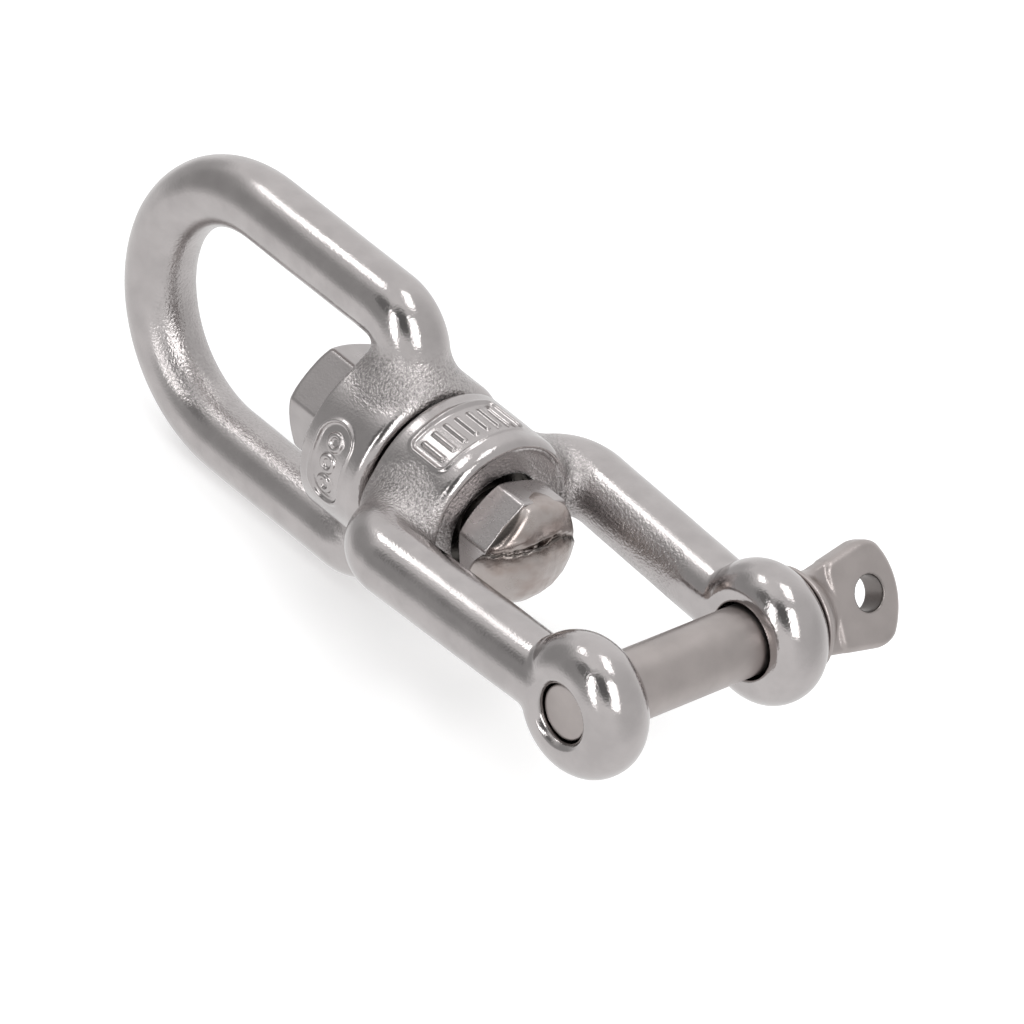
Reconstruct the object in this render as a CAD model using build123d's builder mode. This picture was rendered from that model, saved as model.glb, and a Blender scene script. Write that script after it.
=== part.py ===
"""Anchor swivel: an eye and a jaw on two barrels that turn about one bolt, with a winged screw pin.

The origin is the centre of the screw pin. +X runs along the swivel axis from the eye to the jaw's
mouth, +Y along the screw pin to its wing. The jaw lies flat in XY and the eye stands in XZ.
"""

import os
from math import cos, radians, sin

from build123d import *

# Bars and bores
pin_radius = 4.0
arm_radius = 4.1
eye_bar_radius = 4.05
bolt_radius = 3.5
running_clearance = 0.06

# Jaw
jaw_gap = 18.9
ear_radius = 8.2
ear_thickness = 7.85
arm_offset_at_barrel = 14.95
arm_bend_radius = 4.5
jaw_barrel_radius = 10.4
jaw_barrel_length = 10.6
jaw_barrel_front_x = -29.2
jaw_barrel_back_round = 0.5
jaw_barrel_front_round = 1.1
arm_place_on_barrel = 0.476
arm_skim = 0.27
pin_bore_radius = 4.4
thread_bore_radius = 3.35
thread_bore_chamfer = 0.45
dish_radius = 9.2
dish_depth = 0.35
nut_recess_radius = 6.15
nut_recess_depth = 2.0

# Eye
barrel_gap = 0.5
eye_barrel_radius = 10.75
eye_barrel_length = 9.7
eye_barrel_back_round = 0.4
eye_barrel_front_round = 1.5
stub_place_on_barrel = 0.58
eye_half_height = 15.6
eye_bend_radius = 5.0
eye_bow_x = -71.4
stub_start = 7.5

# Sunk panels on the barrels
stamp_recess = 0.35
jaw_stamp_offset = 4.9
jaw_stamp_angle = 99.0
jaw_stamp_length = 5.2
jaw_stamp_arc = 66.0
jaw_stamp_corner = 1.0
eye_stamp_offset = 4.2
eye_stamp_angle = 174.0
eye_stamp_length = 4.8
eye_stamp_arc = 54.0
eye_stamp_corner = 2.3

# Swivel bolt, nut and weld
hex_turn = 45.5
head_across_flats = 12.6
head_height = 7.15
head_play = 0.15
nut_across_flats = 11.6
nut_height = 4.7
nut_play = 0.2
hex_chamfer_angle = 30.0
head_chamfer_share = 0.96
weld_height = 3.5
weld_dome_radius = 7.9
weld_hex_height = 5.0
weld_hex_across_flats = 8.4

# Screw pin
pin_thread_radius = 3.25
thread_pitch = 1.0
thread_depth = 0.4
thread_grooves = 5
thread_first_root = 0.95
thread_runout = 1.1
pin_relief_end = 0.1
pin_shoulder_chamfer = 0.3
pin_tip_chamfer = 0.33
pin_head_shank_radius = 4.2
pin_tip_y = -16.1
collar_radius = 6.15
collar_width = 1.2
collar_play = 0.05
collar_chamfer = 1.4
collar_seat_margin = 0.35
flare_width = 4.2
wing_turn = 33.0
wing_thickness = 3.2
wing_neck_half = 4.2
wing_half = 6.3
wing_corner_y = 29.3
wing_end_y = 32.0
wing_hole_y = 27.4
wing_hole_radius = 2.05
wing_hole_chamfer = 0.25
wing_corner_round = 1.6
wing_edge_round = 0.6

jaw_barrel_back_x = jaw_barrel_front_x - jaw_barrel_length
eye_barrel_front_x = jaw_barrel_back_x - barrel_gap
eye_barrel_back_x = eye_barrel_front_x - eye_barrel_length
arm_x = jaw_barrel_front_x - arm_place_on_barrel * jaw_barrel_length
stub_x = eye_barrel_front_x - stub_place_on_barrel * eye_barrel_length
head_seat_x = eye_barrel_back_x - head_play
nut_base_x = jaw_barrel_front_x + nut_play
nut_top_x = nut_base_x + nut_height
barrel_bore_radius = bolt_radius + running_clearance
ear_inner_y = jaw_gap / 2
ear_y = ear_inner_y - arm_skim + ear_thickness / 2
ear_outer_y = ear_y + ear_thickness / 2
collar_y = ear_outer_y + collar_play
collar_top_y = ear_outer_y + collar_width
thread_half = 0.45 * thread_pitch
thread_root_radius = pin_thread_radius - thread_depth


def barrel(back_x, front_x, radius, back_round, front_round):
    """A plain round barrel about X with rounded rims."""
    with BuildPart() as body:
        with BuildSketch(Plane.YZ.offset(back_x)):
            Circle(radius)
        extrude(amount=front_x - back_x)
        rims = body.edges().filter_by(GeomType.CIRCLE).sort_by(Axis.X)
        fillet(rims[0], back_round)
        fillet(body.edges().filter_by(GeomType.CIRCLE).sort_by(Axis.X)[-1], front_round)
    return body.part


def stamp_tool(barrel_radius, centre_x, centre_angle, length_x, arc_degrees, corner):
    """The solid that sinks one panel into a barrel, centred on an angle about X from +Y."""
    outward = Plane(
        origin=(centre_x, 0, 0),
        x_dir=(1, 0, 0),
        z_dir=(0, cos(radians(centre_angle)), sin(radians(centre_angle))),
    )
    width = 2 * barrel_radius * sin(radians(arc_degrees / 2))
    with BuildPart() as tool:
        with BuildSketch(outward):
            RectangleRounded(length_x, width, corner)
        extrude(amount=barrel_radius + 1)
        with BuildSketch(Plane.YZ.offset(centre_x - length_x)):
            Circle(barrel_radius - stamp_recess)
        extrude(amount=2 * length_x, mode=Mode.SUBTRACT)
    return tool.part


def hex_prism(x, across_flats, height):
    """A plain hexagonal prism about X, from x onwards."""
    with BuildPart() as body:
        with BuildSketch(Plane.YZ.offset(x)):
            RegularPolygon(across_flats / 2, 6, major_radius=False, rotation=hex_turn)
        extrude(amount=height)
    return body.part


def chamfer_cone(x, across_flats, height):
    """A cone that takes the corners off the -X end of a hexagon whose flats stay whole."""
    slope = sin(radians(hex_chamfer_angle)) / cos(radians(hex_chamfer_angle))
    reach = across_flats
    with BuildPart() as body:
        with BuildSketch(Plane.XY):
            with BuildLine():
                Polyline(
                    (x, 0),
                    (x, across_flats / 2),
                    (x + reach * slope, across_flats / 2 + reach),
                    (x + reach * slope + height, across_flats / 2 + reach),
                    (x + reach * slope + height, 0),
                    close=True,
                )
            make_face()
        revolve(axis=Axis.X)
    return body.part


with BuildPart() as jaw:
    add(barrel(jaw_barrel_back_x, jaw_barrel_front_x, jaw_barrel_radius,
               jaw_barrel_back_round, jaw_barrel_front_round))
    # One arm: out of the barrel, round the shoulder and on to its ear
    with BuildLine() as arm_path:
        FilletPolyline(
            (arm_x, stub_start), (arm_x, arm_offset_at_barrel), (0, ear_y), radius=arm_bend_radius
        )
    with BuildSketch(Plane(origin=arm_path.line @ 0, z_dir=arm_path.line % 0)):
        Circle(arm_radius)
    sweep(path=arm_path.line)
    # Its ear: a thick disc about the pin's axis with a fully rounded edge
    with BuildSketch(Plane.XY):
        with Locations((ear_radius - ear_thickness / 2, ear_y)):
            Circle(ear_thickness / 2)
        with Locations((0, ear_y)):
            Rectangle(ear_radius - ear_thickness / 2, ear_thickness, align=(Align.MIN, Align.CENTER))
    revolve(axis=Axis.Y)
    mirror(about=Plane.XZ)
    # The faces between the ears are milled flat, which also skims the arms next to them
    Box(4 * ear_radius, jaw_gap, 4 * ear_radius, mode=Mode.SUBTRACT)
    # A shallow dish in front of the barrel, and a deeper recess under the nut
    with BuildSketch(Plane.XY):
        with BuildLine():
            Polyline(
                (jaw_barrel_front_x, 0),
                (jaw_barrel_front_x, dish_radius),
                (jaw_barrel_front_x - dish_depth, dish_radius - dish_depth),
                (jaw_barrel_front_x - dish_depth, nut_recess_radius),
                (jaw_barrel_front_x - nut_recess_depth, nut_recess_radius),
                (jaw_barrel_front_x - nut_recess_depth, 0),
                close=True,
            )
        make_face()
    revolve(axis=Axis.X, mode=Mode.SUBTRACT)
    with BuildSketch(Plane.YZ.offset(jaw_barrel_back_x - 1)):
        Circle(barrel_bore_radius)
    extrude(amount=jaw_barrel_length + 2, mode=Mode.SUBTRACT)
    # Far ear: clearance bore. Near ear: the smaller threaded bore
    with BuildSketch(Plane.XZ):
        Circle(pin_bore_radius)
    extrude(amount=-2 * ear_outer_y, mode=Mode.SUBTRACT)
    with BuildSketch(Plane.XZ):
        Circle(thread_bore_radius)
    extrude(amount=2 * ear_outer_y, mode=Mode.SUBTRACT)
    near_mouth = jaw.edges().filter_by(GeomType.CIRCLE).filter_by(
        lambda edge: abs(edge.radius - thread_bore_radius) < 1e-3
    )
    chamfer(near_mouth.sort_by(Axis.Y)[0], thread_bore_chamfer)
    # Flat seat for the pin's collar on the far ear
    with BuildSketch(Plane.XZ.offset(-ear_outer_y)):
        Circle(collar_radius + collar_seat_margin)
    extrude(amount=-collar_width, mode=Mode.SUBTRACT)
    # Sunk panel on top of the barrel
    add(stamp_tool(jaw_barrel_radius, jaw_barrel_back_x + jaw_stamp_offset, jaw_stamp_angle,
                   jaw_stamp_length, jaw_stamp_arc, jaw_stamp_corner), mode=Mode.SUBTRACT)

with BuildPart() as eye:
    add(barrel(eye_barrel_back_x, eye_barrel_front_x, eye_barrel_radius,
               eye_barrel_back_round, eye_barrel_front_round))
    with BuildLine(Plane.XZ) as eye_path:
        stub = Line((stub_x, stub_start), (stub_x, eye_half_height - eye_bend_radius))
        shoulder = JernArc(stub @ 1, stub % 1, eye_bend_radius, 90)
        upper = Line(shoulder @ 1, (eye_bow_x, eye_half_height))
        bow = JernArc(upper @ 1, upper % 1, eye_half_height, 180)
        lower = Line(bow @ 1, (stub_x - eye_bend_radius, -eye_half_height))
        knee = JernArc(lower @ 1, lower % 1, eye_bend_radius, 90)
        Line(knee @ 1, (stub_x, -stub_start))
    with BuildSketch(Plane(origin=eye_path.line @ 0, z_dir=eye_path.line % 0)):
        Circle(eye_bar_radius)
    sweep(path=eye_path.line)
    with BuildSketch(Plane.YZ.offset(eye_barrel_back_x - 1)):
        Circle(barrel_bore_radius)
    extrude(amount=eye_barrel_length + 2, mode=Mode.SUBTRACT)
    # Sunk panel with round ends on the near side of the barrel
    add(stamp_tool(eye_barrel_radius, eye_barrel_back_x + eye_stamp_offset, eye_stamp_angle,
                   eye_stamp_length, eye_stamp_arc, eye_stamp_corner), mode=Mode.SUBTRACT)

with BuildPart() as swivel_bolt:
    # Hexagon head against the eye, chamfered on its far side
    add(hex_prism(head_seat_x - head_height, head_across_flats, head_height))
    add(chamfer_cone(head_seat_x - head_height, head_across_flats * head_chamfer_share, head_height),
        mode=Mode.INTERSECT)
    with BuildSketch(Plane.YZ.offset(head_seat_x)):
        Circle(bolt_radius)
    extrude(amount=nut_top_x - head_seat_x)

with BuildPart() as lock_nut:
    add(hex_prism(nut_base_x, nut_across_flats, nut_height))
    add(chamfer_cone(nut_base_x, nut_across_flats, nut_height), mode=Mode.INTERSECT)
    with BuildSketch(Plane.YZ.offset(nut_base_x - 1)):
        Circle(bolt_radius)
    extrude(amount=nut_height + 2, mode=Mode.SUBTRACT)

with BuildPart() as weld_cap:
    # Dome of weld over the nut and the bolt's end, dressed flush with the nut's flats
    for height, across_flats in ((0, nut_across_flats), (weld_hex_height, weld_hex_across_flats)):
        with BuildSketch(Plane.YZ.offset(nut_top_x + height)):
            RegularPolygon(across_flats / 2, 6, major_radius=False, rotation=hex_turn)
    loft(ruled=True)
    with Locations((nut_top_x + weld_height - weld_dome_radius, 0, 0)):
        Sphere(weld_dome_radius, mode=Mode.INTERSECT)

# The pin's wing: a flat rounded triangle through the pin's axis
wing_plane = Plane(
    origin=(0, 0, 0),
    x_dir=(0, 1, 0),
    z_dir=(cos(radians(wing_turn)), 0, sin(radians(wing_turn))),
)
with BuildPart() as wing:
    with BuildSketch(wing_plane.offset(-wing_thickness / 2)) as wing_outline:
        with BuildLine():
            end = ThreePointArc((wing_corner_y, -wing_half), (wing_end_y, 0), (wing_corner_y, wing_half))
            Polyline(
                end @ 1,
                (ear_outer_y + 1, wing_neck_half),
                (ear_outer_y + 1, -wing_neck_half),
                end @ 0,
            )
        make_face()
        fillet(wing_outline.vertices().group_by(Axis.X)[-1], wing_corner_round)
    extrude(amount=wing_thickness)
    flat_rims = wing.faces().sort_by(Axis(wing_plane.origin, wing_plane.z_dir))
    fillet(flat_rims[0].edges() + flat_rims[-1].edges(), wing_edge_round)

with BuildPart() as clevis_pin:
    # Shank, collar and the flare up to the wing
    with BuildSketch(Plane.XY):
        with BuildLine():
            Polyline(
                (0, pin_tip_y),
                (pin_thread_radius - pin_tip_chamfer, pin_tip_y),
                (pin_thread_radius, pin_tip_y + pin_tip_chamfer),
                (pin_thread_radius, -ear_inner_y - thread_runout),
                (thread_root_radius, -ear_inner_y - thread_runout + thread_depth),
                (thread_root_radius, -ear_inner_y + pin_relief_end),
                (pin_radius - pin_shoulder_chamfer, -ear_inner_y + pin_relief_end),
                (pin_radius, -ear_inner_y + pin_relief_end + pin_shoulder_chamfer),
                (pin_radius, ear_inner_y - pin_relief_end),
                (pin_head_shank_radius, ear_inner_y),
                (pin_head_shank_radius, collar_y),
                (collar_radius, collar_y),
                (collar_radius, collar_top_y),
                (collar_radius - collar_chamfer, collar_top_y + collar_chamfer),
                (wing_thickness / 2, collar_top_y + flare_width),
                (0, collar_top_y + flare_width),
                close=True,
            )
        make_face()
    revolve(axis=Axis.Y)
    # Thread crests on the pin's end
    with BuildSketch(Plane.XY):
        for groove in range(thread_grooves):
            root_y = pin_tip_y + thread_pitch * (groove + thread_first_root)
            with BuildLine():
                Polyline(
                    (thread_root_radius, root_y),
                    (pin_thread_radius, root_y + thread_half),
                    (pin_thread_radius + 1, root_y + thread_half),
                    (pin_thread_radius + 1, root_y - thread_half),
                    (pin_thread_radius, root_y - thread_half),
                    close=True,
                )
            make_face()
    revolve(axis=Axis.Y, mode=Mode.SUBTRACT)
    # The wing, with a hole for seizing wire
    add(wing.part)
    with BuildSketch(wing_plane):
        with Locations((wing_hole_y, 0)):
            Circle(wing_hole_radius)
    extrude(amount=wing_thickness, both=True, mode=Mode.SUBTRACT)
    wing_rims = clevis_pin.edges().filter_by(GeomType.CIRCLE).filter_by(
        lambda edge: abs(edge.radius - wing_hole_radius) < 1e-3
    )
    chamfer(wing_rims, wing_hole_chamfer)

parts = {
    "jaw": jaw,
    "eye": eye,
    "swivel_bolt": swivel_bolt,
    "lock_nut": lock_nut,
    "weld_cap": weld_cap,
    "clevis_pin": clevis_pin,
}
os.makedirs("parts", exist_ok=True)
for name, piece in parts.items():
    piece.part.label = name
    export_step(piece.part, f"parts/{name}.step")
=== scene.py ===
from math import cos, pi, radians, sin, tan

import bpy
import numpy as np
from mathutils import Matrix, Vector


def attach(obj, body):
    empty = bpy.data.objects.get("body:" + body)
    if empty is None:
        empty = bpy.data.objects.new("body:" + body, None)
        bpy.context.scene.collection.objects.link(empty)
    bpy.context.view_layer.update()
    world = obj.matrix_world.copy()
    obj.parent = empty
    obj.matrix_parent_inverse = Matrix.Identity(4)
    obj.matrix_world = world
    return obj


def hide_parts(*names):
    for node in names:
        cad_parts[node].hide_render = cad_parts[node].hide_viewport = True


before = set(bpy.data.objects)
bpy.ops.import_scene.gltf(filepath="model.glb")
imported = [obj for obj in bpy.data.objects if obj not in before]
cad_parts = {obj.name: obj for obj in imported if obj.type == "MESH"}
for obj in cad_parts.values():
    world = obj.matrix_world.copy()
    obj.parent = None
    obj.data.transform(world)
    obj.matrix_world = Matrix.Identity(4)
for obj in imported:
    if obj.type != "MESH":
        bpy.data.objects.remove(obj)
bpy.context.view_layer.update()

# The castings, nut, weld and pin are modelled as distance fields in millimetres, in the CAD's
# frame: negative inside, zero on the surface. `skin` turns a field into a mesh of quads.

MM = 0.001

# ------------------------------------------------------------------------------ sizes, in mm
EYE_BAR_RADIUS = 4.05
EYE_HALF_HEIGHT = 15.6
EYE_BEND_RADIUS = 5.0
EYE_BOW_X = -71.4
EYE_STUB_X = -45.926
EYE_BARREL = dict(back=-50.0, front=-40.3, radius=10.75, back_round=0.4, front_round=1.5)

JAW_BARREL = dict(back=-39.8, front=-29.2, radius=10.4, back_round=0.5, front_round=1.5)
ARM_RADIUS = 4.1
ARM_X = -34.245
ARM_Y = 14.95
ARM_BEND_RADIUS = 4.5
EAR_RADIUS = 8.2
EAR_HALF = 3.925
EAR_Y = 13.105
JAW_HALF_GAP = 9.45
SLOT_BACK_X = -16.4
PIN_BORE_RADIUS = 4.4
THREAD_BORE_RADIUS = 3.35
THREAD_BORE_CHAMFER = 0.6
COLLAR_SEAT_RADIUS = 6.5
COLLAR_SEAT_Y = 17.03
DISH_RADIUS = 9.2
DISH_DEPTH = 0.35
NUT_RECESS_RADIUS = 6.15
NUT_RECESS_X = -30.9

SHANK_RADIUS = 3.5
BORE_RADIUS = 3.56
HEX_TURN = 45.5
HEX_CHAMFER = radians(30)
HEAD_ACROSS_FLATS = 12.6
HEAD_BACK_X = -57.3
HEAD_SEAT_X = -50.15
HEAD_SEAT_RADIUS = 7.7
NUT_ACROSS_FLATS = 11.6
NUT_BASE_X = -29.0
NUT_TOP_X = -24.3
NUT_DISH_DEPTH = 0.5
WELD_RADIUS = 6.35
WELD_HEIGHT = 2.9
WELD_FILM = 0.1
LOBE_X = -25.4
LOBE_Z = -0.3
LOBE_RADIUS = 6.85
LOBE_HEIGHT = 4.7
LOBE_TOE_X = -25.42
LOBE_TOE_SLOPE = 0.516
UPPER_FLAT = radians(HEX_TURN + 30)
LEAF_FLAT = radians(HEX_TURN + 90)
LEAF_WIDTH = 1.2
LEAF_HALF_LENGTH = 3.3
LEAF_SHADE = 0.8
# The crease between the two runs of weld: its height CREASE_UP against its run CREASE_ALONG
CREASE_FROM = (-25.0, 0.0, 0.0)
CREASE_ALONG = (0.6515, 0.7413, 0.1613)
CREASE_UP = (-0.5220, 0.2837, 0.8044)
CREASE = ((-4.4, -2.45, -0.9, 2.0, 2.9, 4.5, 5.5), (-0.9, -1.15, -1.05, -0.4, 0.3, 0.95, 0.7))

PIN_RADIUS = 4.0
PIN_SHOULDER_Y = -9.35
PIN_THREAD_RADIUS = 3.25
PIN_THREAD_DEPTH = 0.35
THREAD_PITCH = 1.0
PIN_TIP_Y = -16.1
PIN_TIP_RADIUS = 3.0
COLLAR_RADIUS = 6.15
COLLAR_Y = 17.08
FLARE_PROFILE = (
    (17.0, 17.6, 18.2, 18.8, 19.6, 20.6, 21.6, 22.6),
    (6.1, 6.0, 5.6, 5.1, 4.2, 3.0, 1.9, 0.9),
)
WING_TURN = radians(33)
WING_THICKNESS = 3.2
WING_NECK_THICKNESS = 2.2
WING_FACE_Y = 22.1
WING_BEVEL = 0.55
WING_NECK_HALF = 4.2
WING_HALF = 6.3
WING_SHIFT = -0.25
WING_CORNER_Y = 29.3
WING_ARC_Y = 23.0
WING_ARC_RADIUS = 8.9
WING_HOLE_Y = 27.4
WING_HOLE_RADIUS = 2.05

# Sunk panels: middle along X, middle angle from +Y, half size along X and round the barrel
EYE_PANEL = dict(middle_x=-45.8, middle_angle=174, half_x=2.45, half_arc=5.1, corner=2.4)
JAW_PANEL = dict(middle_x=-34.85, middle_angle=99, half_x=2.85, half_arc=6.2, corner=1.0)
PANEL_RIM = 0.2
PANEL_RIM_WIDTH = 0.27
PANEL_DEPTH = 0.28
PANEL_SLOPE = 0.25
MARK_HEIGHT = 0.34
BAR_PITCH = 1.65
RING_PITCH = 2.7
BARREL_FILLET = 3.0
STUB_START = 8.5
GRAIN_REACH = 4.5
HAND_WAVE = 0.012
RING_RADIUS = 0.85
MARK_HALF_WIDTH = 0.27
BAR_HALF_LENGTH = 1.75


# ------------------------------------------------------------------------- field arithmetic
def length(*parts):
    """Length of the vector with these parts."""
    return np.sqrt(sum(part * part for part in parts))


def join(a, b, radius):
    """Union of two fields with a fillet of this radius in the corner between them."""
    corner = length(np.maximum(radius - a, 0), np.maximum(radius - b, 0))
    return np.maximum(radius, np.minimum(a, b)) - corner


def meet(a, b, radius):
    """Intersection of two fields, its edge rounded to this radius."""
    return -join(-a, -b, radius)


def cut(a, b, radius):
    """Field a with b taken away, its edge rounded to this radius."""
    return -join(-a, b, radius)


def box2(u, v, half_u, half_v, radius):
    """A rounded rectangle about the origin of a plane."""
    qu, qv = np.abs(u) - half_u + radius, np.abs(v) - half_v + radius
    return np.minimum(np.maximum(qu, qv), 0) + length(np.maximum(qu, 0), np.maximum(qv, 0)) - radius


def drum(x, rho, back, front, radius, back_round, front_round):
    """A round bar about X whose two rims are rounded."""
    middle, half = (back + front) / 2, (front - back) / 2
    rim = np.where(x > middle, front_round, back_round)
    return box2(x - middle, rho, half, radius, rim)


def segment(u, v, start, end):
    """Distance in a plane from a straight run between two points."""
    du, dv = end[0] - start[0], end[1] - start[1]
    share = ((u - start[0]) * du + (v - start[1]) * dv) / (du * du + dv * dv)
    share = np.clip(share, 0, 1)
    return length(u - start[0] - share * du, v - start[1] - share * dv)


def bent_run(u, v, start, corner, end, radius):
    """Distance in a plane from two straight runs joined by an arc of this radius."""
    start, corner, end = (np.array(p, float) for p in (start, corner, end))
    back = (start - corner) / np.linalg.norm(start - corner)
    on = (end - corner) / np.linalg.norm(end - corner)
    half_angle = np.arccos(np.dot(back, on)) / 2
    reach = radius / np.tan(half_angle)
    middle = (back + on) / np.linalg.norm(back + on)
    centre = corner + middle * radius / np.sin(half_angle)
    first, last = corner + back * reach, corner + on * reach
    cu, cv = u - centre[0], v - centre[1]
    # Inside the wedge that the arc spans, as seen from its centre
    in_wedge = (cu * back[0] + cv * back[1] <= 0) & (cu * on[0] + cv * on[1] <= 0)
    arc = np.where(in_wedge, np.abs(length(cu, cv) - radius), 1e3)
    runs = np.minimum(segment(u, v, start, first), segment(u, v, last, end))
    return np.minimum(arc, runs)


def fade(value, start, end):
    """0 before start, 1 after end and a smooth rise between them."""
    share = np.clip((value - start) / (end - start), 0, 1)
    return share * share * (3 - 2 * share)


def waves(x, y, z, pitch, seed):
    """A smooth wandering value between about -1 and 1, for a hand-dressed surface."""
    value = 0.0
    for turn in range(5):
        a, b = seed + 2.4 * turn, 1.3 * seed + 1.7 * turn
        along = x * sin(a) * cos(b) + y * cos(a) + z * sin(a) * sin(b)
        value = value + np.sin(2 * pi * along / (pitch * (0.7 + 0.17 * turn)) + 5.1 * turn + seed)
    return value / 2.5


# --------------------------------------------------------------------------------- the skin
def grid_lines(start, end, step, fine=None, fine_step=None):
    """Grid positions from start to end, closer together inside the `fine` range."""
    stops = [start, end] if fine is None else [start, max(start, fine[0]), min(end, fine[1]), end]
    lines = [np.array([start])]
    for index, (a, b) in enumerate(zip(stops[:-1], stops[1:])):
        size = fine_step if (fine is not None and index == 1) else step
        count = max(1, int(np.ceil((b - a) / size)))
        lines.append(np.linspace(a, b, count + 1)[1:] if b > a else np.array([]))
    return np.concatenate(lines)


def gradient(field, points, reach=0.02):
    """Slope of a field at points, from central differences."""
    slope = np.empty_like(points)
    for axis in range(3):
        step = np.zeros(3)
        step[axis] = reach
        ahead, behind = points + step, points - step
        slope[:, axis] = (field(*ahead.T) - field(*behind.T)) / (2 * reach)
    return slope


def settle(field, points, limit):
    """Points moved on to the field's surface, no further than the limit in one go."""
    slope = gradient(field, points)
    size2 = np.maximum((slope * slope).sum(1), 0.05)
    move = -(field(*points.T) / size2)[:, None] * slope
    far = np.maximum(np.linalg.norm(move, axis=1) / limit, 1)
    return points + move / far[:, None]


def surface_net(field, lines):
    """Quads over the zero surface of a field: one vertex in each grid cell that it crosses."""
    gx, gy, gz = lines
    value = field(gx[:, None, None], gy[None, :, None], gz[None, None, :]).astype(np.float32)
    inside = value < 0
    cells = np.zeros(tuple(n - 1 for n in value.shape), np.int8)
    corners = [(a, b, c) for a in (0, 1) for b in (0, 1) for c in (0, 1)]
    nx, ny, nz = cells.shape
    for a, b, c in corners:
        cells += inside[a:a + nx, b:b + ny, c:c + nz]
    active = (cells > 0) & (cells < 8)
    ci, cj, ck = np.nonzero(active)
    number = np.full(cells.shape, -1, np.int64)
    number[active] = np.arange(len(ci))
    total, hits = np.zeros((len(ci), 3)), np.zeros(len(ci))
    for a, b, c in corners:
        for axis in range(3):
            if (a, b, c)[axis]:
                continue
            end = [a, b, c]
            end[axis] = 1
            v0 = value[ci + a, cj + b, ck + c]
            v1 = value[ci + end[0], cj + end[1], ck + end[2]]
            crossed = (v0 < 0) != (v1 < 0)
            share = np.where(crossed, v0 / np.where(crossed, v0 - v1, 1), 0)
            start = np.stack([gx[ci + a], gy[cj + b], gz[ck + c]], 1)
            finish = np.stack([gx[ci + end[0]], gy[cj + end[1]], gz[ck + end[2]]], 1)
            point = start + (finish - start) * share[:, None]
            total += point * crossed[:, None]
            hits += crossed
    points = total / hits[:, None]
    quads = []
    for axis in range(3):
        low = [slice(None)] * 3
        high = [slice(None)] * 3
        low[axis], high[axis] = slice(0, -1), slice(1, None)
        changed = inside[tuple(low)] != inside[tuple(high)]
        i, j, k = np.nonzero(changed)
        enters = inside[tuple(low)][i, j, k]
        at = np.stack([i, j, k], 1)
        others = [n for n in range(3) if n != axis]
        keep = (at[:, others[0]] > 0) & (at[:, others[1]] > 0)
        for other in others:
            keep &= at[:, other] < cells.shape[other]
        at, enters = at[keep], enters[keep]
        ring = []
        for du, dv in ((-1, -1), (0, -1), (0, 0), (-1, 0)):
            cell = at.copy()
            cell[:, others[0]] += du
            cell[:, others[1]] += dv
            ring.append(number[tuple(cell.T)])
        ring = np.stack(ring, 1)
        forward = enters if axis != 1 else ~enters
        quads.append(np.where(forward[:, None], ring, ring[:, ::-1]))
    return points, np.concatenate(quads)


def relax(field, points, quads, rounds, limit):
    """Evens out the quads along the surface."""
    a = np.concatenate([quads[:, n] for n in range(4)] + [quads[:, (n + 1) % 4] for n in range(4)])
    b = np.concatenate([quads[:, (n + 1) % 4] for n in range(4)] + [quads[:, n] for n in range(4)])
    weight = np.bincount(a, minlength=len(points))[:, None]
    for _ in range(rounds):
        mean = np.stack([np.bincount(a, points[b, n], len(points)) for n in range(3)], 1) / weight
        slope = gradient(field, points)
        normal = slope / np.linalg.norm(slope, axis=1)[:, None]
        move = mean - points
        move -= normal * (move * normal).sum(1)[:, None]
        points = settle(field, points + 0.5 * move, limit)
    return points


def skin(name, field, lines, rounds=3, values=None):
    """A mesh object over the surface of a field, with named per-vertex values in it."""
    step = min(np.diff(line).min() for line in lines)
    points, quads = surface_net(field, lines)
    for _ in range(2):
        points = settle(field, points, step)
    points = relax(field, points, quads, rounds, step)
    mesh = bpy.data.meshes.new(name)
    mesh.vertices.add(len(points))
    mesh.vertices.foreach_set("co", (points * MM).astype(np.float32).ravel())
    mesh.loops.add(quads.size)
    mesh.loops.foreach_set("vertex_index", quads.astype(np.int32).ravel())
    mesh.polygons.add(len(quads))
    mesh.polygons.foreach_set("loop_start", np.arange(0, quads.size, 4, dtype=np.int32))
    mesh.polygons.foreach_set("use_smooth", np.ones(len(quads), bool))
    mesh.update(calc_edges=True)
    mesh.validate()
    for label, measure in (values or {}).items():
        layer = mesh.attributes.new(label, "FLOAT", "POINT")
        layer.data.foreach_set("value", measure(*points.T).astype(np.float32))
    piece = bpy.data.objects.new(name, mesh)
    bpy.context.scene.collection.objects.link(piece)
    return piece


# ------------------------------------------------------------------------------- the fields
def panel_relief(x, y, z, radius, marks, middle_x, middle_angle, half_x, half_arc, corner):
    """Height in mm that a sunk panel with a raised rim and raised marks adds to a barrel."""
    turn = np.arctan2(z, y) - radians(middle_angle)
    arc = radius * ((turn + pi) % (2 * pi) - pi)
    along = x - middle_x
    edge = box2(along, arc, half_x, half_arc, corner)
    rim = PANEL_RIM * np.exp(-(edge / PANEL_RIM_WIDTH) ** 2)
    sunk = PANEL_DEPTH * fade(-edge, 0, PANEL_SLOPE)
    mark = MARK_HEIGHT * fade(-marks(along, arc), -0.14, 0.14)
    return (rim - sunk + mark) * fade(length(y, z), radius - 1.6, radius - 1.2)


def bar_marks(along, arc):
    """Upright bars side by side."""
    nearest = arc - BAR_PITCH * np.clip(np.round(arc / BAR_PITCH), -3, 3)
    return box2(along, nearest, BAR_HALF_LENGTH, MARK_HALF_WIDTH, 0.2)


def ring_marks(along, arc):
    """Three small rings in a row."""
    nearest = arc - RING_PITCH * np.clip(np.round(arc / RING_PITCH), -1, 1)
    return np.abs(length(along, nearest) - RING_RADIUS) - MARK_HALF_WIDTH


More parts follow.
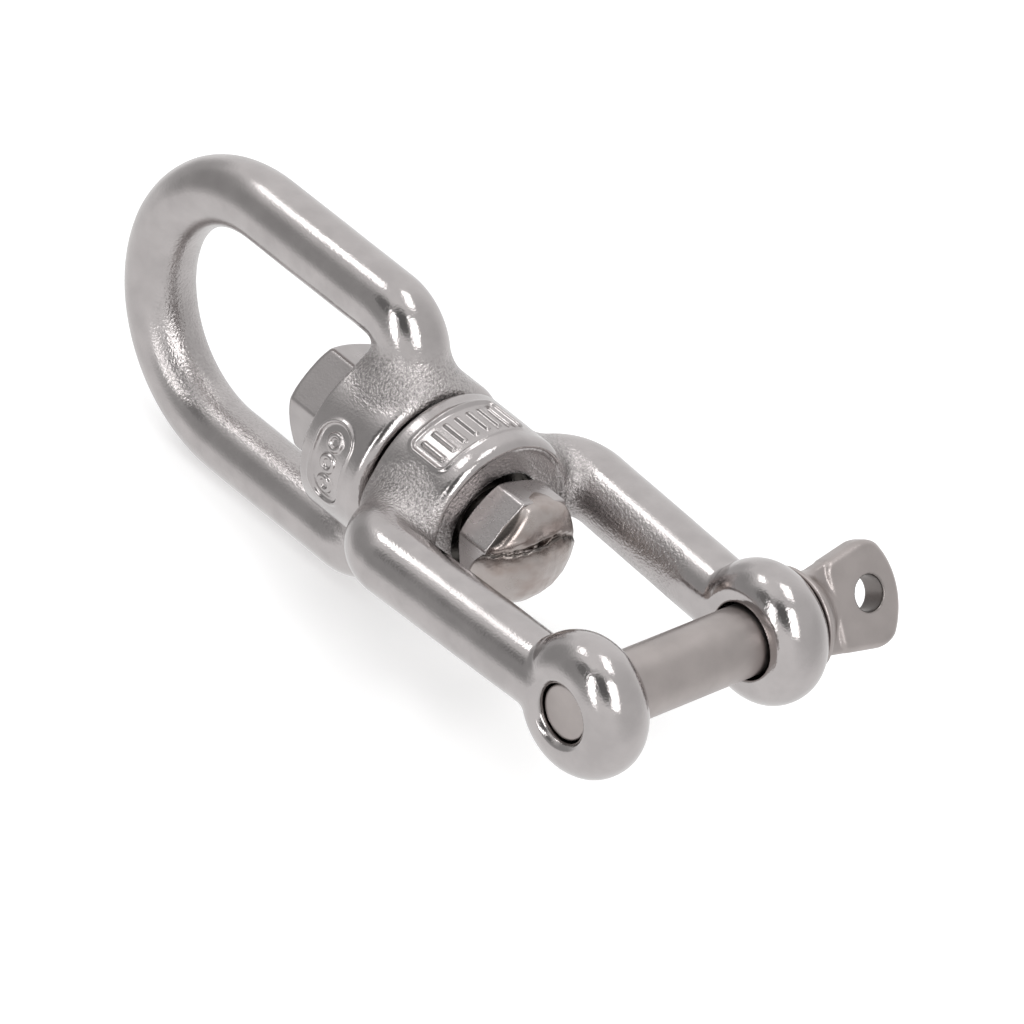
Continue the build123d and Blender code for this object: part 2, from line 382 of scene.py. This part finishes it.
def eye_parts(x, y, z):
    """Distances from the eye's barrel and from its bent bar."""
    barrel = drum(x, length(y, z), **EYE_BARREL)
    bow_end = EYE_BOW_X - EYE_HALF_HEIGHT
    middle, half = (bow_end + EYE_STUB_X) / 2, (EYE_STUB_X - bow_end) / 2
    bend = np.where(x > middle, EYE_BEND_RADIUS, EYE_HALF_HEIGHT)
    bar = length(box2(x - middle, z, half, EYE_HALF_HEIGHT, bend), y) - EYE_BAR_RADIUS
    return barrel, np.maximum(bar, np.where(x > middle, STUB_START - np.abs(z), -EYE_HALF_HEIGHT))


def eye_field(x, y, z):
    rho = length(y, z)
    barrel, bar = eye_parts(x, y, z)
    body = join(barrel, bar, BARREL_FILLET)
    body = np.maximum(body, x - EYE_BARREL["front"])
    # The face under the bolt's head is spot-faced, clear of the fillets at the bar's roots
    spot_face = np.maximum(rho - HEAD_SEAT_RADIUS, np.maximum(x - EYE_BARREL["back"], HEAD_BACK_X - x))
    body = cut(body, spot_face, 0.1)
    body = cut(body, np.maximum(rho - BORE_RADIUS, EYE_BARREL["back"] - 2 - x), 0.4)
    body = body - panel_relief(x, y, z, EYE_BARREL["radius"], ring_marks, **EYE_PANEL)
    return body + HAND_WAVE * waves(x, y, z, 7.0, 1.0)


def jaw_parts(x, y, z):
    """Distances from the jaw's barrel and from its two arms."""
    side = np.abs(y)
    barrel = drum(x, length(y, z), **JAW_BARREL)
    run = bent_run(x, side, (ARM_X, STUB_START), (ARM_X, ARM_Y), (0, EAR_Y), ARM_BEND_RADIUS)
    return barrel, np.maximum(length(run, z) - ARM_RADIUS, STUB_START - side)


def jaw_field(x, y, z):
    side = np.abs(y)
    rho = length(y, z)
    about_pin = length(x, z)
    barrel, arm = jaw_parts(x, y, z)
    body = join(barrel, arm, BARREL_FILLET)
    body = np.maximum(body, JAW_BARREL["back"] - x)
    ear = length(np.maximum(about_pin - EAR_RADIUS + EAR_HALF, 0), side - EAR_Y) - EAR_HALF
    body = join(body, ear, 0.4)
    slot = np.maximum(side - JAW_HALF_GAP, SLOT_BACK_X - x)
    body = cut(body, slot, 0.1)
    seat = np.maximum(about_pin - COLLAR_SEAT_RADIUS, COLLAR_SEAT_Y - y)
    body = cut(body, seat, 0.3)
    bore = about_pin - np.where(y > 0, PIN_BORE_RADIUS, THREAD_BORE_RADIUS)
    body = cut(body, bore, 0.25)
    mouth = (about_pin - THREAD_BORE_RADIUS - THREAD_BORE_CHAMFER + y + COLLAR_SEAT_Y) / 2 ** 0.5
    body = cut(body, np.maximum(mouth, y), 0.15)
    dish = np.maximum(rho - DISH_RADIUS, JAW_BARREL["front"] - DISH_DEPTH - x)
    body = cut(body, dish, 0.7)
    body = cut(body, np.maximum(rho - NUT_RECESS_RADIUS, NUT_RECESS_X - x), 0.15)
    body = cut(body, rho - BORE_RADIUS, 0.3)
    body = body - panel_relief(x, y, z, JAW_BARREL["radius"], bar_marks, **JAW_PANEL)
    return body + HAND_WAVE * waves(x, y, z, 6.0, 2.3)


def root_grain(barrel, bar):
    """How rough the casting was left: 1 in the corner between barrel and bar, 0 well away."""
    return fade(np.maximum(np.abs(barrel), np.abs(bar)), GRAIN_REACH, 0.8)


def eye_grain(x, y, z):
    """Rough at the bar's roots and on the inside of the bow."""
    bow_end = EYE_BOW_X - EYE_HALF_HEIGHT
    middle, half = (bow_end + EYE_STUB_X) / 2, (EYE_STUB_X - bow_end) / 2
    loop = box2(x - middle, z, half, EYE_HALF_HEIGHT, EYE_HALF_HEIGHT * 0.8)
    inside = fade(-loop, 2.6, 3.8) * fade(-x, 50.0, 56.0) * fade(-z, -16.0, 6.0)
    return np.maximum(root_grain(*eye_parts(x, y, z)), 0.35 * inside)


def jaw_grain(x, y, z):
    """Rough at the arms' roots, on their inner sides and on the face round the nut."""
    inner_y = ARM_Y + (EAR_Y - ARM_Y) * (x - ARM_X) / -ARM_X - np.abs(y)
    inside = fade(inner_y, 1.8, 3.4) * fade(x, -30.0, -27.0) * fade(-x, 9.0, 13.0)
    face = fade(x, -30.4, -29.8) * fade(-length(y, z), -DISH_RADIUS, 0.6 - DISH_RADIUS)
    rough = np.maximum(0.5 * inside, 0.55 * face)
    return np.maximum(root_grain(*jaw_parts(x, y, z)), rough)


def eye_polish(x, y, z):
    """1 on the eye's outer shoulders and front rim, which are buffed bright, and 0 elsewhere."""
    rim = fade(x, -43.0, -41.8) * fade(length(y, z), 8.8, 9.4)
    return np.maximum(fade(np.abs(z) + 0.6 * x, -22.0, -17.0), rim)


def jaw_polish(x, y, z):
    """1 on the jaw's ears and front rim, which are buffed bright, and 0 elsewhere."""
    rim = fade(x, -31.4, -30.6) * fade(length(y, z), 8.8, 9.2) * fade(-x, 24.0, 26.0)
    return np.maximum(fade(length(x, z), EAR_RADIUS + 3, EAR_RADIUS), rim)


def eye_shade(x, y, z):
    """Painted shade: 1 in the eye's bore and 0 elsewhere."""
    bore = fade(BORE_RADIUS - length(y, z), -0.5, -0.2)
    return bore * fade(x, EYE_BARREL["back"] - 1, EYE_BARREL["back"])


def jaw_shade(x, y, z):
    """Painted shade: 1 in the jaw's bore and nut recess, half that in its threaded hole, and 0 elsewhere.
    """
    recess = fade(NUT_RECESS_RADIUS - length(y, z), -0.1, 0.0) * fade(-x, 29.6, 29.9)
    hole = fade(THREAD_BORE_RADIUS - length(x, z), -0.2, 0.0) * fade(-y, 0.0, 9.0) * 0.5
    return np.maximum(recess, hole)


def pin_shade(x, y, z):
    """Painted shade: partly dark in the pin's thread and in the wing's hole, and 0 elsewhere."""
    across = -x * sin(WING_TURN) + z * cos(WING_TURN)
    hole = fade(WING_HOLE_RADIUS - length(y - WING_HOLE_Y, across), -0.25, -0.05)
    thread = fade(-length(x, z), -PIN_THREAD_RADIUS, -PIN_THREAD_RADIUS + 0.2) * fade(-y, 9.5, 10.0)
    return np.maximum(0.6 * hole, 0.6 * thread * fade(y, PIN_TIP_Y + 0.1, PIN_TIP_Y + 0.4))


def hexagon(y, z, across_flats, edge_round):
    """A hexagon about X, turned as the bolt and nut are."""
    body = None
    for corner in range(3):
        angle = radians(HEX_TURN + 30 + 60 * corner)
        pair = np.abs(y * cos(angle) + z * sin(angle)) - across_flats / 2
        body = pair if body is None else meet(body, pair, edge_round)
    return body


def bolt_field(x, y, z):
    rho = length(y, z)
    middle, half = (HEAD_BACK_X + HEAD_SEAT_X) / 2, (HEAD_SEAT_X - HEAD_BACK_X) / 2
    head = meet(hexagon(y, z, HEAD_ACROSS_FLATS, 0.35), np.abs(x - middle) - half, 0.3)
    cone = (rho - 0.96 * HEAD_ACROSS_FLATS / 2) * sin(HEX_CHAMFER) - (x - HEAD_BACK_X) * cos(HEX_CHAMFER)
    head = meet(head, cone, 0.4)
    shank = np.maximum(rho - SHANK_RADIUS, np.maximum(HEAD_SEAT_X - 1 - x, x - NUT_TOP_X))
    return np.minimum(head, shank)


def nut_field(x, y, z):
    rho = length(y, z)
    middle, half = (NUT_BASE_X + NUT_TOP_X) / 2, (NUT_TOP_X - NUT_BASE_X) / 2
    body = meet(hexagon(y, z, NUT_ACROSS_FLATS, 0.25), np.abs(x - middle) - half, 0.12)
    cone = (rho - NUT_ACROSS_FLATS / 2) * sin(HEX_CHAMFER) - (x - NUT_BASE_X) * cos(HEX_CHAMFER)
    body = meet(body, cone, 0.2)
    body = np.maximum(body, x - NUT_TOP_X + NUT_DISH_DEPTH * fade(6.1 - rho, 0, 1.2))
    return np.maximum(body, BORE_RADIUS - rho)


def above_crease(x, y, z, ripple):
    """How far above the crease between the two runs of weld."""
    part = (x - CREASE_FROM[0], y - CREASE_FROM[1], z - CREASE_FROM[2])
    along = sum(p * n for p, n in zip(part, CREASE_ALONG))
    above = sum(p * n for p, n in zip(part, CREASE_UP)) - np.interp(along, *CREASE)
    return above - 0.1 * ripple - 0.1 * waves(x, y, z, 1.1, 2.0)


def weld_shade(x, y, z):
    """How dark the weld is painted: painted shade along its crease, and a painted reflection in a leaf
    beside the nut's edge.

    The leaf is paint alone. It stands in for a dark reflection and has no shape of its own."""
    above = above_crease(x, y, z, waves(x, y, z, 2.6, 4.0))
    crease = 0.75 * np.exp(-((above + 0.1) / 0.28) ** 2) + 0.2 * np.exp(-((above + 0.6) / 0.7) ** 2)
    inward = NUT_ACROSS_FLATS / 2 - y * cos(LEAF_FLAT) - z * sin(LEAF_FLAT)
    across = z * cos(LEAF_FLAT) - y * sin(LEAF_FLAT)
    width = LEAF_WIDTH * np.maximum(1 - (across / LEAF_HALF_LENGTH) ** 2, 0)
    from_edge = x - NUT_TOP_X + np.maximum(inward, 0)
    leaf = fade(from_edge, -0.05, 0.1) * fade(width - from_edge, 0.0, 0.3) * fade(-inward, -1.6, -1.2)
    return np.maximum(crease, LEAF_SHADE * leaf * fade(above, -0.2, 0.1))


def weld_field(x, y, z):
    """Two runs of weld over the nut's end that meet in a wavy crease."""
    rho = length(y, z)
    ripple = waves(x, y, z, 2.6, 4.0)
    above = above_crease(x, y, z, ripple)
    # The upper run is flush with the nut's end, and feathers out over the flat on its upper side
    facing = (y * cos(UPPER_FLAT) + z * sin(UPPER_FLAT)) / np.maximum(rho, 1)
    film = fade(facing, cos(radians(33)), cos(radians(22)))
    toe_x = NUT_TOP_X - 0.1 - 2.2 * film * (1 + 0.1 * ripple)
    swell = WELD_FILM * film * fade(x, toe_x, toe_x + 1.5)
    dome = length(np.maximum(x - NUT_TOP_X, 0) * WELD_RADIUS / WELD_HEIGHT, rho) - WELD_RADIUS
    upper = meet(dome, hexagon(y, z, NUT_ACROSS_FLATS - 0.06, 0.3) - swell, 0.6)
    upper = np.maximum(upper, toe_x - NUT_DISH_DEPTH * (1 - film) - x)
    upper = upper + 0.3 * np.exp(-(above / 0.35) ** 2) * fade(-y, -5.4, -3.6)
    upper = upper - (0.07 + 0.07 * ripple) * np.exp(-((above - 0.8) / 0.35) ** 2)
    lobe = length((x - LOBE_X) * LOBE_RADIUS / LOBE_HEIGHT, y, z - LOBE_Z) - LOBE_RADIUS
    lobe = lobe + 0.05 * waves(x, y, z, 2.9, 6.0) + 0.02 * waves(x, y, z, 1.0, 3.0)
    toe = (LOBE_TOE_X + LOBE_TOE_SLOPE * z - x) / length(1, LOBE_TOE_SLOPE)
    lower = meet(meet(lobe, above * 0.9, 0.45), toe, 0.5)
    socket = np.maximum(hexagon(y, z, NUT_ACROSS_FLATS - 0.6, 0.1), x - NUT_TOP_X + NUT_DISH_DEPTH + 0.05)
    return np.maximum(np.minimum(upper, lower), -socket)


def pin_field(x, y, z):
    rho = length(x, z)
    shank = np.maximum(rho - PIN_RADIUS, PIN_SHOULDER_Y - y)
    shank = np.maximum(shank, y - COLLAR_Y)
    thread = PIN_THREAD_RADIUS - PIN_THREAD_DEPTH * (0.5 - 0.5 * np.cos(2 * pi * y / THREAD_PITCH))
    end = meet(rho - thread, PIN_TIP_Y - y, 0.08)
    end = meet(end, (rho - PIN_TIP_RADIUS + PIN_TIP_Y - y) / 2 ** 0.5, 0.08)
    end = np.maximum(end, y)
    body = np.minimum(shank, end)
    collar = meet(rho - COLLAR_RADIUS, np.abs(y - COLLAR_Y - 0.3) - 0.3, 0.2)
    spread = np.interp(y, *FLARE_PROFILE)
    flare = np.maximum((rho - spread) * 0.7, np.maximum(COLLAR_Y + 0.3 - y, y - FLARE_PROFILE[0][-1]))
    across = -x * sin(WING_TURN) + z * cos(WING_TURN) - WING_SHIFT
    through = x * cos(WING_TURN) + z * sin(WING_TURN)
    taper = WING_NECK_HALF + (WING_HALF - WING_NECK_HALF) * (y - COLLAR_Y) / (WING_CORNER_Y - COLLAR_Y)
    outline = meet(np.abs(across) - taper, length(y - WING_ARC_Y, across) - WING_ARC_RADIUS, 1.6)
    neck = meet(outline, np.abs(through) - WING_NECK_THICKNESS / 2, 0.6)
    neck = np.maximum(neck, COLLAR_Y + 0.3 - y)
    face = meet(outline, WING_FACE_Y - y, 1.2)
    level = np.abs(through) - WING_THICKNESS / 2
    blade = meet(meet(face, level, 0.12), (face + level + WING_BEVEL) / 2 ** 0.5, 0.2)
    grip = join(join(np.minimum(collar, flare), neck, 1.6), blade, 0.15)
    body = np.minimum(body, np.maximum(grip, COLLAR_Y - y))
    hole = length(y - WING_HOLE_Y, across + WING_SHIFT) - WING_HOLE_RADIUS
    return cut(body, hole, 0.2)


# -------------------------------------------------------------------------------- the pieces
STEP, FINE_STEP = ((0.25, 0.13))
eye = skin(
    "eye_casting", eye_field,
    (
        grid_lines(-91.6, -39.7, STEP, fine=(-48.8, -42.8), fine_step=FINE_STEP),
        grid_lines(-11.4, 11.4, STEP),
        grid_lines(-20.3, 20.3, STEP, fine=(-4.6, 6.8), fine_step=FINE_STEP),
    ),
    values={"grain": eye_grain, "polish": eye_polish, "shade": eye_shade},
)
jaw = skin(
    "jaw_casting", jaw_field,
    (
        grid_lines(-40.4, 8.8, STEP, fine=(-38.4, -31.4), fine_step=FINE_STEP),
        grid_lines(-19.5, 19.5, STEP, fine=(-7.8, 5.2), fine_step=FINE_STEP),
        grid_lines(-11.0, 11.0, STEP),
    ),
    values={"grain": jaw_grain, "polish": jaw_polish, "shade": jaw_shade},
)
SMALL_STEP = 0.18


def small_skin(name, field, low, high, values=None):
    """The skin of a small piece, on an even grid."""
    lines = tuple(grid_lines(a, b, SMALL_STEP) for a, b in zip(low, high))
    return skin(name, field, lines, values=values)


bolt = small_skin("bolt_forging", bolt_field, (-57.9, -7.6, -7.6), (-23.7, 7.6, 7.6))
nut = small_skin("nut_forging", nut_field, (-29.6, -7.1, -7.1), (-23.7, 7.1, 7.1))
weld = small_skin("weld_bead", weld_field, (-30.5, -7.6, -7.6), (-20.2, 7.6, 7.6), {"shade": weld_shade})
pin = small_skin("screw_pin", pin_field, (-7.0, -17.2, -7.0), (7.0, 32.7, 7.0), {"shade": pin_shade})
for piece, body, node in (
    (eye, "eye", "eye"),
    (jaw, "jaw", "jaw"),
    (bolt, "swivel_bolt", "swivel_bolt"),
    (nut, "swivel_bolt", "lock_nut"),
    (weld, "swivel_bolt", "weld_cap"),
    (pin, "clevis_pin", "clevis_pin"),
):
    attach(piece, body)
    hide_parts(node)

# ----------------------------------------------------------------------------- the materials
DARK = (0.05, 0.045, 0.04)
PIT_DEPTH = 0.29
PIT_DARKNESS = 0.28


def steel(name, colour, roughness, seed, grain=0.02, polished=None, mottle=None, shaded=False):
    """Satin stainless steel: a drifting colour and gloss, and a fine grain.

    Where a mesh has a value "polish" its roughness falls to `polished`, and where it has a value
    "grain" the surface is as sand-cast. Where it has a value "shade" it carries painted shade.
    `mottle` is a second colour that shows in patches."""
    material = bpy.data.materials.new(name)
    material.use_nodes = True
    nodes, links = material.node_tree.nodes, material.node_tree.links
    shader = nodes["Principled BSDF"]
    shader.inputs["Metallic"].default_value = 1.0
    place = nodes.new("ShaderNodeTexCoord")

    def noise(scale, detail, offset):
        node = nodes.new("ShaderNodeTexNoise")
        node.noise_dimensions = "4D"
        node.inputs["W"].default_value = seed + offset
        node.inputs["Scale"].default_value = scale
        node.inputs["Detail"].default_value = detail
        links.new(place.outputs["Object"], node.inputs["Vector"])
        return node.outputs["Fac"]

    def spread(value, low, high, to_low, to_high):
        node = nodes.new("ShaderNodeMapRange")
        sockets = ("From Min", "From Max", "To Min", "To Max")
        for socket, number in zip(sockets, (low, high, to_low, to_high)):
            node.inputs[socket].default_value = number
        links.new(value, node.inputs["Value"])
        return node.outputs["Result"]

    def mix(share, low, high):
        node = nodes.new("ShaderNodeMix")
        node.data_type = "FLOAT"
        for socket, value in (("Factor", share), ("A", low), ("B", high)):
            if isinstance(value, float):
                node.inputs[socket].default_value = value
            else:
                links.new(value, node.inputs[socket])
        return node.outputs["Result"]

    def stored(label):
        node = nodes.new("ShaderNodeAttribute")
        node.attribute_name = label
        return node.outputs["Fac"]

    def blend(share, under, over):
        node = nodes.new("ShaderNodeMix")
        node.data_type = "RGBA"
        links.new(share, node.inputs["Factor"])
        links.new(under.outputs["Result"], node.inputs["A"])
        node.inputs["B"].default_value = (*over, 1)
        return node

    tint = nodes.new("ShaderNodeMix")
    tint.data_type = "RGBA"
    tint.inputs["A"].default_value = (*[c * 0.88 for c in colour], 1)
    tint.inputs["B"].default_value = (*colour, 1)
    links.new(spread(noise(260, 3, 0), 0.35, 0.65, 0, 1), tint.inputs["Factor"])
    shown = tint
    if mottle is not None:
        shown = blend(spread(noise(330, 3, 21), 0.42, 0.66, 0, 1), shown, mottle)
    if polished is not None:
        pits = spread(noise(3100, 2, 12), 0.36, 0.52, 1, 0)
        pitted = nodes.new("ShaderNodeMath")
        pitted.operation = "MULTIPLY"
        links.new(pits, pitted.inputs[0])
        links.new(stored("grain"), pitted.inputs[1])
        shown = blend(spread(pitted.outputs["Value"], 0, 1, 0, PIT_DARKNESS), shown, DARK)
    # Painted shade: the "shade" value darkens the colour towards DARK
    if shaded:
        shown = blend(stored("shade"), shown, DARK)
    links.new(shown.outputs["Result"], shader.inputs["Base Color"])
    gloss = spread(noise(420, 4, 3), 0.3, 0.7, roughness * 0.85, roughness * 1.2)
    fine = nodes.new("ShaderNodeBump")
    fine.inputs["Distance"].default_value = grain * MM
    links.new(noise(3800, 3, 7), fine.inputs["Height"])
    normal = fine
    if polished is not None:
        gloss = mix(stored("polish"), gloss, polished)
        gloss = mix(stored("grain"), gloss, 0.24)
        coarse = nodes.new("ShaderNodeBump")
        coarse.inputs["Distance"].default_value = PIT_DEPTH * MM
        links.new(stored("grain"), coarse.inputs["Strength"])
        links.new(noise(3100, 3, 12), coarse.inputs["Height"])
        links.new(fine.outputs["Normal"], coarse.inputs["Normal"])
        normal = coarse
    links.new(gloss, shader.inputs["Roughness"])
    links.new(normal.outputs["Normal"], shader.inputs["Normal"])
    return material


CAST_COLOUR = (0.53, 0.5, 0.494)
finish_of = {
    eye: ("cast_eye", steel("cast_steel_eye", CAST_COLOUR, 0.2, 1, polished=0.1, shaded=True)),
    jaw: ("cast_jaw", steel("cast_steel_jaw", CAST_COLOUR, 0.19, 4, polished=0.1, shaded=True)),
    bolt: ("bolt_steel", steel("bolt_steel", (0.50, 0.47, 0.465), 0.3, 6)),
    nut: ("bolt_steel", steel("nut_steel", (0.50, 0.47, 0.465), 0.26, 8)),
    weld: (
        "weld_metal",
        steel("weld_steel", (0.48, 0.435, 0.415), 0.24, 9, mottle=(0.36, 0.3, 0.275), shaded=True),
    ),
    pin: ("pin_steel", steel("pin_steel", (0.475, 0.432, 0.418), 0.33, 11, shaded=True)),
}
for piece, (slot, material) in finish_of.items():
    piece.data.materials.append(material)

# ------------------------------------------------------------------- floor, light and camera
FLOOR_Z = -19.67 * MM
bpy.ops.mesh.primitive_plane_add(size=4, location=(0, 0, FLOOR_Z))
floor = bpy.context.object
floor.name = "floor"
paper = bpy.data.materials.new("paper")
paper.use_nodes = True
paper_shader = paper.node_tree.nodes["Principled BSDF"]
paper_shader.inputs["Base Color"].default_value = (0.9, 0.9, 0.9, 1)
paper_shader.inputs["Roughness"].default_value = 1.0
paper_shader.inputs["Emission Color"].default_value = (1, 1, 1, 1)
paper_shader.inputs["Emission Strength"].default_value = 0.36
floor.data.materials.append(paper)
floor.visible_glossy = False

# The room is white, and dim in these directions: azimuth, elevation, radius and strength. The floor
# stays out of the steel's reflections, where the lower half of the room stands in for it
ROOM_BRIGHT = 0.93
ROOM_DIM = (
    (-30, 14, 38, 0.42),
    (-64, 10, 38, 0.42),
    (-92, 5, 30, 0.55),
    (-18, 32, 24, 0.22),
    (27, 42, 28, 0.16),
    (115, 30, 75, 0.72),
)


def direction(azimuth, elevation):
    """Unit vector: azimuth 0 points along -Y and 90 degrees along +X."""
    flat = cos(elevation)
    return Vector((sin(azimuth) * flat, -cos(azimuth) * flat, sin(elevation)))


world = bpy.data.worlds.new("studio")
bpy.context.scene.world = world
world.use_nodes = True
nodes, links = world.node_tree.nodes, world.node_tree.links
place = nodes.new("ShaderNodeTexCoord")
strength = None
for azimuth, elevation, radius, dim in ROOM_DIM:
    facing = nodes.new("ShaderNodeVectorMath")
    facing.operation = "DOT_PRODUCT"
    facing.inputs[1].default_value = direction(radians(azimuth), radians(elevation))
    links.new(place.outputs["Generated"], facing.inputs[0])
    dimming = nodes.new("ShaderNodeMapRange")
    dimming.interpolation_type = "SMOOTHSTEP"
    dimming.inputs["From Min"].default_value = cos(radians(radius))
    dimming.inputs["From Max"].default_value = cos(radians(radius * 0.3))
    dimming.inputs["To Min"].default_value = ROOM_BRIGHT
    dimming.inputs["To Max"].default_value = dim
    links.new(facing.outputs["Value"], dimming.inputs["Value"])
    if strength is None:
        strength = dimming.outputs["Result"]
    else:
        least = nodes.new("ShaderNodeMath")
        least.operation = "MINIMUM"
        links.new(strength, least.inputs[0])
        links.new(dimming.outputs["Result"], least.inputs[1])
        strength = least.outputs["Value"]
nodes["Background"].inputs["Color"].default_value = (1, 1, 1, 1)
links.new(strength, nodes["Background"].inputs["Strength"])

LIGHT_DISTANCE = 1.0
LIGHT_TARGET = Vector((-35, 0, 0)) * MM


def softbox(name, azimuth, elevation, wide, tall, radiance):
    """A rectangular light facing the object: its place and its size as seen from there in degrees."""
    data = bpy.data.lights.new(name, "AREA")
    data.shape = "RECTANGLE"
    data.size = 2 * LIGHT_DISTANCE * tan(radians(wide / 2))
    data.size_y = 2 * LIGHT_DISTANCE * tan(radians(tall / 2))
    data.energy = 4 * radiance * data.size * data.size_y
    light = bpy.data.objects.new(name, data)
    toward = direction(radians(azimuth), radians(elevation))
    light.location = LIGHT_TARGET + toward * LIGHT_DISTANCE
    light.rotation_euler = toward.to_track_quat("Z", "Y").to_euler()
    light.visible_camera = False
    bpy.context.scene.collection.objects.link(light)


softbox("strip_left", 2, 19, 12, 40, 2.4)
softbox("softbox_right", 63, 39, 21, 38, 2.5)
softbox("strip_high", -70, 54, 14, 10, 2.4)
softbox("softbox_top", 150, 80, 26, 16, 2.0)

CAMERA_PLACE = Vector((448.48, -525.82, 497.07)) * MM
CAMERA_FORWARD = Vector((-0.5505, 0.6083, -0.5718))
CAMERA_RIGHT = Vector((0.6515, 0.7413, 0.1613))
CAMERA_LENS = 281.25
camera_data = bpy.data.cameras.new("camera")
camera_data.lens = CAMERA_LENS
camera_data.clip_end = 10
camera = bpy.data.objects.new("camera", camera_data)
bpy.context.scene.collection.objects.link(camera)
up = CAMERA_RIGHT.cross(CAMERA_FORWARD)
turn = Matrix((CAMERA_RIGHT, up, -CAMERA_FORWARD)).transposed()
camera.matrix_world = Matrix.Translation(CAMERA_PLACE) @ turn.to_4x4()
bpy.context.scene.camera = camera
bpy.context.scene.view_settings.view_transform = "Standard"
